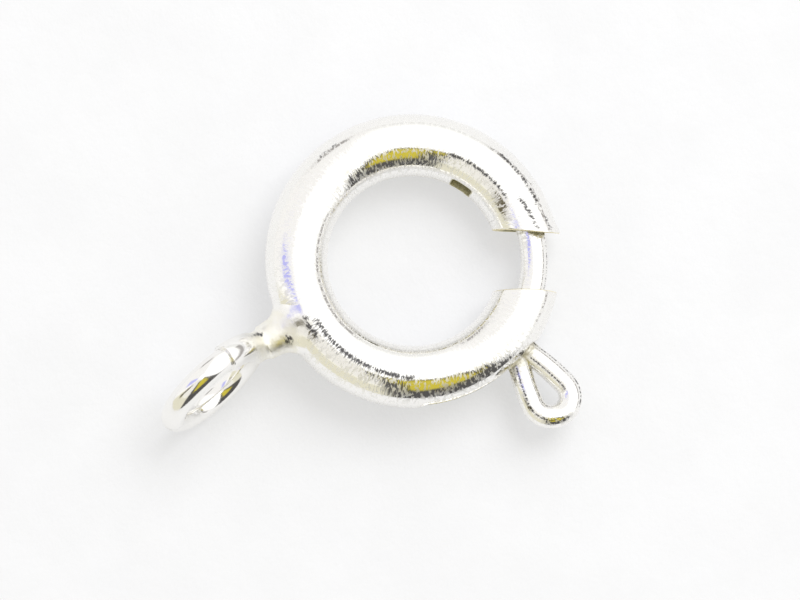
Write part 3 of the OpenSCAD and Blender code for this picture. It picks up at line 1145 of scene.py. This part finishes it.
def make_forming_marks():
    """Height of the marks that drawing, bending and knocks leave in soft wire and tube."""
    group, given, made = new_group("Forming marks", ["Ripple", "Wave", "Grain", "Knocked"], "Height")
    dents = calculate(group, "MULTIPLY", given["Knocked"], DENT_DEPTH)
    amounts = {
        "ripple": given["Ripple"], "wave": given["Wave"], "grain": given["Grain"], "dents": dents
    }
    parts = [
        calculate(group, "MULTIPLY", lay_noise(group, given["Lay"], name), amount)
        for name, amount in amounts.items()
    ]
    wire(group, add_up(group, *parts), made)


def make_hairlines():
    """Mask of the fine hairlines that handling leaves across the polish."""
    group, given, made = new_group("Hairlines", ["Amount"], "Mask")
    lines = fade(group, lay_noise(group, given["Lay"], "hairs"), *HAIR_FADE)
    wire(group, calculate(group, "MULTIPLY", lines, given["Amount"], clamp=True), made)


def make_painted_reflections():
    """Mask of the painted reflections: dark ragged marks that stand in for dark things mirrored in
    the polish, broken up across the metal's lay.
    """
    group, given, made = new_group("Painted reflections", ["Rubbed"], "Mask")
    rags = calculate(group, "SUBTRACT", lay_noise(group, given["Lay"], "rags"), 0.5)
    rags = calculate(group, "MULTIPLY", rags, RAG_REACH)
    ragged = fade(group, calculate(group, "ADD", given["Rubbed"], rags), *RAG_FADE)
    rubbed = calculate(group, "MULTIPLY", ragged, given["Rubbed"])
    wire(group, calculate(group, "MULTIPLY", rubbed, PAINTED_REFLECTION_STRENGTH, clamp=True), made)


def make_film():
    """Mask of the dull film that keeps to sheltered places, in uneven patches."""
    group, given, made = new_group("Film", ["Shelter", "Amount"], "Mask")
    patches = fade(group, lay_noise(group, given["Lay"], "film"), *FILM_FADE)
    uneven = calculate(group, "ADD", patches, given["Shelter"])
    uneven = calculate(group, "MULTIPLY", uneven, given["Shelter"])
    wire(group, calculate(group, "MULTIPLY", uneven, given["Amount"], clamp=True), made)


def place_group(tree, name, **values):
    """Puts a node group in a material, gives it its values or links, and returns its output."""
    node = tree.nodes.new("ShaderNodeGroup")
    node.node_tree = bpy.data.node_groups[name]
    for label, value in values.items():
        feed(tree, value, node.inputs[label])
    return node.outputs[0]


def read_attribute(tree, name, output="Fac"):
    """The mesh's own value at each point."""
    node = tree.nodes.new("ShaderNodeAttribute")
    node.attribute_name = name
    return node.outputs[output]


def blend_colours(tree, mask, first, second):
    """A colour that goes from first to second with the mask."""
    node = tree.nodes.new("ShaderNodeMix")
    node.data_type = "RGBA"
    wire(tree, mask, node.inputs["Factor"])
    for socket, value in zip((node.inputs[6], node.inputs[7]), (first, second)):
        feed(tree, value if isinstance(value, bpy.types.NodeSocket) else (*value, 1.0), socket)
    return node.outputs[2]


def raise_relief(tree, height, strength, distance, shader):
    """Gives the shader a relief."""
    relief = tree.nodes.new("ShaderNodeBump")
    relief.inputs["Strength"].default_value = strength
    relief.inputs["Distance"].default_value = distance
    wire(tree, height, relief.inputs["Height"])
    wire(tree, relief.outputs["Normal"], shader.inputs["Normal"])


def new_material(name):
    """A material, its node tree and its shader."""
    material = bpy.data.materials.new(name)
    material.use_nodes = True
    return material, material.node_tree, material.node_tree.nodes["Principled BSDF"]


# Each metal has its roughness when clean, its hairlines, its film, its ripple, its wave, its grain
# and the height of these three in metres, and the colours of its face, its film and its cuts.
METALS = {
    "Polished silver": (0.05, 0.33, 0.55, 0.45, 5.0, 0.15, 0.0000038, "silver", "tarnish", "brass"),
    "Dull bore": (0.3, 0.2, 1.0, 1.0, 2.0, 2.0, 0.000004, "silver", "bore", "brass"),
    "Soldered silver": (0.07, 0.05, 0.7, 0.2, 5.0, 0.2, 0.0000025, "silver", "solder", "brass"),
    "Spring steel": (0.22, 0.1, 0.6, 0.3, 0.5, 0.6, 0.0000015, "steel", "tarnish", "steel"),
}


def new_metal(name, colours):
    """A metal with forming marks, film in its sheltered places, sawn edges and painted reflections.
    """
    shine, hairs, film_amount, ripple, wave, grain, height, *names = METALS[name]
    face_colour, film_colour, cut_colour = (getattr(colours, label) for label in names)
    _, tree, shader = new_material(name)
    lay, sawn = read_attribute(tree, "lay", "Vector"), read_attribute(tree, "sawn")
    shelter, rubbed = read_attribute(tree, "shelter"), read_attribute(tree, "rubbed")
    film = place_group(tree, "Film", Lay=lay, Shelter=shelter, Amount=film_amount)
    surface = blend_colours(tree, sawn, face_colour, cut_colour)
    surface = blend_colours(tree, film, surface, film_colour)
    # Painted reflection: dark ragged marks stand in for dark things in the room mirrored in the
    # polish.
    painted_reflections = place_group(tree, "Painted reflections", Lay=lay, Rubbed=rubbed)
    surface = blend_colours(tree, painted_reflections, surface, colours.rub)
    wire(tree, surface, shader.inputs["Base Color"])
    shader.inputs["Metallic"].default_value = 1.0
    rough = add_up(
        tree,
        calculate(tree, "MULTIPLY", film, FILM_ROUGH),
        calculate(tree, "MULTIPLY", sawn, SAWN_ROUGH),
        calculate(tree, "MULTIPLY", lay_noise(tree, lay, "shine"), UNEVEN_ROUGH),
        place_group(tree, "Hairlines", Lay=lay, Amount=hairs),
    )
    rough = calculate(tree, "ADD", rough, shine, clamp=True)
    wire(tree, rough, shader.inputs["Roughness"])
    marks = place_group(
        tree, "Forming marks", Lay=lay, Knocked=read_attribute(tree, "knocked"), Ripple=ripple,
        Wave=wave, Grain=grain,
    )
    raise_relief(tree, marks, 1.0, height, shader)


def new_sheet_material(sheet, glow):
    """Pale matt card with a faint mottle."""
    material, tree, shader = new_material("Pale sheet")
    place = tree.nodes.new("ShaderNodeTexCoord").outputs["Object"]
    mottle = fade(tree, lay_noise(tree, place, "mottle"), *MOTTLE_FADE)
    paler = [min(1.0, part * MOTTLE_PALER) for part in sheet]
    wire(tree, blend_colours(tree, mottle, sheet, paler), shader.inputs["Base Color"])
    shader.inputs["Roughness"].default_value = 0.9
    shader.inputs["Specular IOR Level"].default_value = 0.1
    shader.inputs["Emission Color"].default_value = (1.0, 1.0, 1.0, 1.0)
    shader.inputs["Emission Strength"].default_value = glow
    raise_relief(tree, lay_noise(tree, place, "tooth"), TOOTH_STRENGTH, TOOTH_HEIGHT, shader)
    return material


# The stage


def camera_axes(stage):
    """The camera's right, up and back directions."""
    azimuth, elevation = stage.azimuth, stage.elevation
    back = np.array([
        math.sin(azimuth) * math.cos(elevation),
        -math.cos(azimuth) * math.cos(elevation),
        math.sin(elevation),
    ])
    right = np.array([math.cos(azimuth), math.sin(azimuth), 0.0])
    return right, np.cross(back, right), back


def room_direction(stage, turn, tilt):
    """A direction in the room: turn from the picture's right, tilt away from the camera."""
    right, up, back = camera_axes(stage)
    turn, tilt = math.radians(turn), math.radians(tilt)
    flat = right * math.cos(turn) + up * math.sin(turn)
    return flat * math.sin(tilt) + back * math.cos(tilt)


# Each patch of the room has its turn and half width, its lowest and highest tilt and how soft its
# edges are, all in degrees, and its colour.
ROOM_PATCHES = [
    # Two sides that are a little darker than the ceiling
    (226, 40, 4, 50, 4, (0.93, 0.91, 0.86)),
    (226, 40, 50, 96, 5, (0.82, 0.79, 0.64)),
    (142, 42, 14, 95, 8, (1.0, 0.99, 0.98)),
    # A dark patch with a yellow one in it
    (294, 32, 13, 93, 3, (0.1, 0.097, 0.096)),
    (296, 20, 16, 52, 4, (0.66, 0.56, 0.07)),
    # A blue patch, a brown one and two dark strips near the horizon
    (168, 10, 21, 54, 4, (0.55, 0.55, 1.0)),
    (203, 7, 26, 62, 3, (0.14, 0.12, 0.07)),
    (119, 9, 79, 90, 3, (0.4, 0.38, 0.37)),
    (20, 36, 81, 92, 3, (0.42, 0.4, 0.39)),
]
# The colours overhead and at the horizon, and the tilts between which one fades to the other
CEILING = (1.4, 1.4, 1.39)
HORIZON = (0.88, 0.88, 0.87)
CEILING_EDGE, HORIZON_EDGE = 62, 94


def band(tree, value, low, high, soft):
    """A mask that is 1 from low to high, with soft edges."""
    rise = fade(tree, value, low - soft, low + soft)
    fall = fade(tree, value, high - soft, high + soft)
    return calculate(tree, "MULTIPLY", rise, calculate(tree, "SUBTRACT", 1.0, fall))


def look_angles(tree, stage):
    """The direction looked in, as its turn and its tilt in radians."""
    look = tree.nodes.new("ShaderNodeTexCoord").outputs["Generated"]
    parts = []
    for axis in camera_axes(stage):
        dot = tree.nodes.new("ShaderNodeVectorMath")
        dot.operation = "DOT_PRODUCT"
        wire(tree, look, dot.inputs[0])
        dot.inputs[1].default_value = tuple(axis)
        parts.append(dot.outputs["Value"])
    right, up, back = parts
    return calculate(tree, "ARCTAN2", up, right), calculate(tree, "ARCCOSINE", back)


def make_room(stage):
    """The bright room round the clasp, with its few darker and coloured patches."""
    world = bpy.data.worlds.new("Room")
    bpy.context.scene.world = world
    world.use_nodes = True
    tree = world.node_tree
    background = tree.nodes["Background"]
    turn, tilt = look_angles(tree, stage)
    height = fade(tree, tilt, math.radians(CEILING_EDGE), math.radians(HORIZON_EDGE))
    surface = blend_colours(tree, height, CEILING, HORIZON)
    for middle, half, low, high, soft, tint in ROOM_PATCHES:
        apart = calculate(tree, "COSINE", calculate(tree, "SUBTRACT", turn, math.radians(middle)))
        apart = calculate(tree, "ARCCOSINE", apart)
        aside = fade(tree, apart, math.radians(half + soft), math.radians(half - soft))
        tall = band(tree, tilt, math.radians(low), math.radians(high), math.radians(soft))
        mask = calculate(tree, "MULTIPLY", aside, tall)
        surface = blend_colours(tree, mask, surface, tint)
    wire(tree, surface, background.inputs["Color"])
    background.inputs["Strength"].default_value = stage.dome


def make_sheet(stage, colours):
    """The pale sheet that the clasp lies on."""
    half = stage.sheet_w / 2
    corners = [(-half, -half, 0), (half, -half, 0), (half, half, 0), (-half, half, 0)]
    mesh = bpy.data.meshes.new("sheet")
    mesh.from_pydata(corners, [], [(0, 1, 2, 3)])
    mesh.materials.append(new_sheet_material(colours.sheet, stage.glow))
    sheet = add_object("sheet", mesh)


# The lamp's turn and tilt in degrees, and its distance and width in metres
LAMP_TURN, LAMP_TILT, LAMP_DISTANCE, LAMP_WIDTH = 55, 42, 0.16, 0.1


def make_lamp(stage):
    """A square soft lamp that faces the clasp and isn't mirrored in it."""
    lamp = bpy.data.lights.new("Soft lamp", "AREA")
    lamp.shape = "SQUARE"
    lamp.size = LAMP_WIDTH
    lamp.energy = stage.lamp
    holder = add_object("Soft lamp", lamp)
    holder.visible_glossy = False
    place = Vector(room_direction(stage, LAMP_TURN, LAMP_TILT) * LAMP_DISTANCE)
    holder.location = place
    holder.rotation_mode = "QUATERNION"
    holder.rotation_quaternion = (-place).to_track_quat("-Z", "Y")


PHOTO_CENTRE = (400.0, 300.0)
RING_IN_PHOTO = (412.9, 260.8)
PIXELS_PER_METRE = 49350.0


def make_camera(stage):
    """The camera at the photograph's viewing angle."""
    right, up, back = camera_axes(stage)
    across = (RING_IN_PHOTO[0] - PHOTO_CENTRE[0]) / PIXELS_PER_METRE
    down = (RING_IN_PHOTO[1] - PHOTO_CENTRE[1]) / PIXELS_PER_METRE
    aim = RING_CENTRE - right * across + up * down
    camera = bpy.data.cameras.new("Camera")
    camera.lens = stage.lens
    camera.sensor_width = 36.0
    camera.clip_start = 0.01
    camera.clip_end = 5.0
    holder = add_object("Camera", camera)
    axes = Matrix(np.stack([right, up, back], 1).tolist())
    place = Vector(aim + back * stage.distance)
    holder.matrix_world = Matrix.Translation(place) @ axes.to_4x4()
    bpy.context.scene.camera = holder


# Operators


class CLASP_OT_finishes(bpy.types.Operator):
    """Makes the materials of the clasp"""

    bl_idname = "clasp.finishes"
    bl_label = "Finishes"

    def execute(self, context):
        make_forming_marks()
        make_film()
        make_hairlines()
        make_painted_reflections()
        for name in METALS:
            new_metal(name, context.scene.clasp_colours)
        return {"FINISHED"}


class CLASP_OT_ring(bpy.types.Operator):
    """Builds the hollow ring with its slot, window and sawn ends"""

    bl_idname = "clasp.ring"
    bl_label = "Ring"

    def execute(self, context):
        skin = build_ring_skin(context.scene.clasp_ring)
        ring = skin.make("ring_tube", ["Polished silver", "Dull bore"])
        weigh_normals(ring)
        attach(ring, "ring")
        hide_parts("ring_body")
        return {"FINISHED"}


class CLASP_OT_eye(bpy.types.Operator):
    """Builds the eye, its neck and the solder"""

    bl_idname = "clasp.eye"
    bl_label = "Eye"

    def execute(self, context):
        skin, normals = build_eye_skin(context.scene.clasp_eye, context.scene.clasp_ring)
        eye = skin.make("eye_and_solder", ["Soldered silver"], normals)
        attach(eye, "ring")
        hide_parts("ring_body")
        return {"FINISHED"}


class CLASP_OT_latch(bpy.types.Operator):
    """Builds the rod and its trigger"""

    bl_idname = "clasp.latch"
    bl_label = "Latch"

    def execute(self, context):
        skin = build_latch_skin(context.scene.clasp_latch, context.scene.clasp_ring)
        latch = skin.make("latch_wire", ["Polished silver"])
        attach(latch, "latch")
        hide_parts("latch")
        return {"FINISHED"}


# Two points on the ring are worked out at this direction and at the opposite one.
SPRING_HOLD = math.radians(45)


class CLASP_OT_spring(bpy.types.Operator):
    """Builds the coil spring"""

    bl_idname = "clasp.spring"
    bl_label = "Spring"

    def execute(self, context):
        scene = context.scene
        skin = build_spring_skin(scene.clasp_spring, scene.clasp_latch, scene.clasp_ring)
        spring = skin.make("spring_coil", ["Spring steel"])
        ring_r = ring_measures(scene.clasp_ring).ring_r
        ends = lay_down(polar_point(ring_r, np.array([SPRING_HOLD, SPRING_HOLD + math.pi])))
        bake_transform(spring)
        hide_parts("coil_spring")
        return {"FINISHED"}


class CLASP_OT_stage(bpy.types.Operator):
    """Lays out the sheet, the room, the lamp and the camera"""

    bl_idname = "clasp.stage"
    bl_label = "Stage"

    def execute(self, context):
        stage = context.scene.clasp_stage
        context.scene.view_settings.view_transform = "Standard"
        make_sheet(stage, context.scene.clasp_colours)
        make_room(stage)
        make_lamp(stage)
        make_camera(stage)
        return {"FINISHED"}


class CLASP_PT_panel(bpy.types.Panel):
    """Lists the steps that build the clasp"""

    bl_idname = "CLASP_PT_panel"
    bl_label = "Spring ring clasp"
    bl_space_type = "VIEW_3D"
    bl_region_type = "UI"
    bl_category = "Clasp"

    def draw(self, context):
        for operator in OPERATORS:
            self.layout.operator(operator.bl_idname)


SIZES = {
    "clasp_ring": RingSizes,
    "clasp_eye": EyeSizes,
    "clasp_latch": LatchSizes,
    "clasp_spring": SpringSizes,
    "clasp_colours": FinishColours,
    "clasp_stage": StageSettings,
}

OPERATORS = [
    CLASP_OT_finishes,
    CLASP_OT_ring,
    CLASP_OT_eye,
    CLASP_OT_latch,
    CLASP_OT_spring,
    CLASP_OT_stage,
]


def register():
    """Registers the sizes, the operators and the panel."""
    for name, group in SIZES.items():
        bpy.utils.register_class(group)
        setattr(bpy.types.Scene, name, bpy.props.PointerProperty(type=group))
    for operator in OPERATORS:
        bpy.utils.register_class(operator)
    bpy.utils.register_class(CLASP_PT_panel)


def unregister():
    """Takes the panel, the operators and the sizes out again."""
    bpy.utils.unregister_class(CLASP_PT_panel)
    for operator in reversed(OPERATORS):
        bpy.utils.unregister_class(operator)
    for name, group in reversed(SIZES.items()):
        delattr(bpy.types.Scene, name)
        bpy.utils.unregister_class(group)


def main():
    """Builds the clasp and its stage."""
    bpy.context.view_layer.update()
    register()
    bpy.ops.clasp.finishes()
    bpy.ops.clasp.ring()
    bpy.ops.clasp.eye()
    bpy.ops.clasp.latch()
    bpy.ops.clasp.spring()
    bpy.ops.clasp.stage()


if __name__ == "__main__":
    main()
